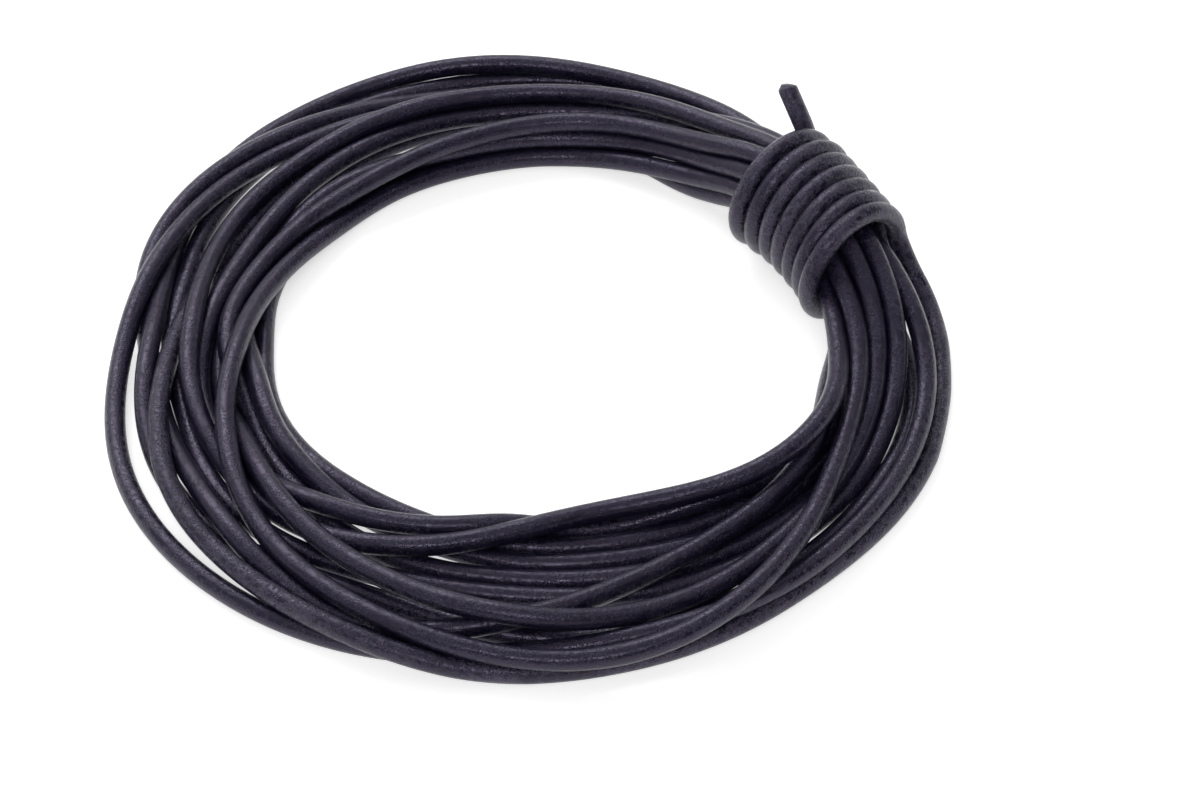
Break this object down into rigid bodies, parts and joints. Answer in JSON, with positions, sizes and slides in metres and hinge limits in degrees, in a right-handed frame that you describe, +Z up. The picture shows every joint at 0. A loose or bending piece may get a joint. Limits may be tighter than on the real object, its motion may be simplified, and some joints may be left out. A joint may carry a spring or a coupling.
{
  "type": "leather cord hank",
  "caption": "Ring-shaped hank of smooth round leather cord, its loops drawn together at one side and bound with the cord's own end, which stands free.",
  "frame": {"origin": "on the table, under the middle of the hank's footprint", "axes": "+Z up from the table through the ring; the binding is at 26 degrees from +X towards +Y, and the loose outer loop lies on the -X and -Y side"},
  "size_m": [0.1242, 0.1262, 0.0216],
  "materials": {
    "cord_leather": "satin"
  },
  "bodies": {
    "root": {"coil_loops": "cord_leather", "binding_lead": "cord_leather", "binding_turns": "cord_leather", "free_tail": "cord_leather", "starting_end": "cord_leather"}
  },
  "joints": []
}
